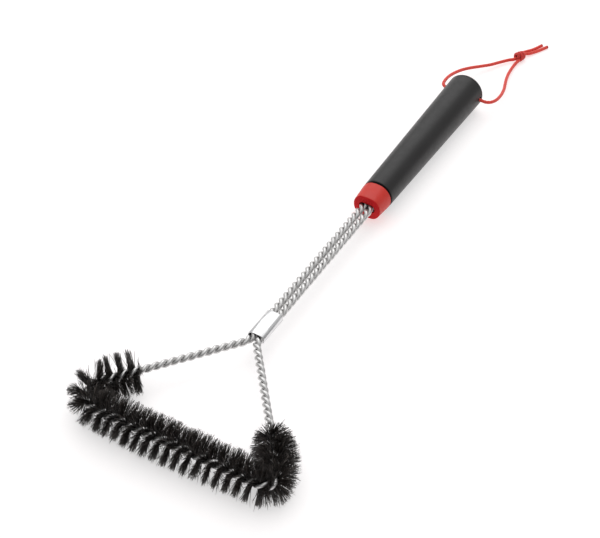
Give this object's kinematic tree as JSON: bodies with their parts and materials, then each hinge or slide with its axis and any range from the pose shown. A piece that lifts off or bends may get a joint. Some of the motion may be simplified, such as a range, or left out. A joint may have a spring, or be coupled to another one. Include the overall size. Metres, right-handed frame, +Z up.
{
  "type": "grill cleaning brush",
  "caption": "Triangular grill brush: bristles held in a twisted-wire triangle on a double wire stem, with a tapered handle and a knotted hanging cord.",
  "frame": {"origin": "middle of the footprint of the brush, without its cord, on the surface it lies on", "axes": "+Y from the bristle head to the handle's end, +Z up from the surface, +X across the head"},
  "size_m": [0.2093, 0.6482, 0.036],
  "materials": {
    "grip_shell": "moulded black",
    "end_cap": "moulded black",
    "grip_gasket": "smooth black",
    "front_collar": "moulded red",
    "anchor_block": "moulded dark grey",
    "anchor_ferrule": "pressed steel",
    "block_retainer": "zinc plated",
    "retainer_screws": "zinc plated",
    "ferrule": "polished",
    "wire_strand_a": "drawn steel wire",
    "wire_strand_b": "drawn steel wire",
    "bristles_left_wing": "dark fibres",
    "bristles_left_corner": "dark fibres",
    "bristles_front": "dark fibres",
    "bristles_right_corner": "dark fibres",
    "bristles_right_wing": "dark fibres",
    "cord_loop": "braided red",
    "cord_knot": "braided red",
    "cord_tail_left": "braided red",
    "cord_tail_right": "braided red"
  },
  "bodies": {
    "brush": {"grip_shell": "grip_shell", "end_cap": "end_cap", "grip_gasket": "grip_gasket", "front_collar": "front_collar", "anchor_block": "anchor_block", "anchor_ferrule": "anchor_ferrule", "block_retainer": "block_retainer", "retainer_screws": "retainer_screws", "ferrule": "ferrule", "wire_strand_a": "wire_strand_a", "wire_strand_b": "wire_strand_b", "bristles_left_wing": "bristles_left_wing", "bristles_left_corner": "bristles_left_corner", "bristles_front": "bristles_front", "bristles_right_corner": "bristles_right_corner", "bristles_right_wing": "bristles_right_wing"},
    "hang_cord": {"cord_loop": "cord_loop", "cord_knot": "cord_knot", "cord_tail_left": "cord_tail_left", "cord_tail_right": "cord_tail_right"}
  },
  "joints": [
    {"name": "cord_swing", "type": "hinge", "parent": "brush", "child": "hang_cord", "pos_m": [-0.00399, 0.25632, 0.0175], "axis": [1, 0, 0], "range_deg": [-150, 165]}
  ]
}
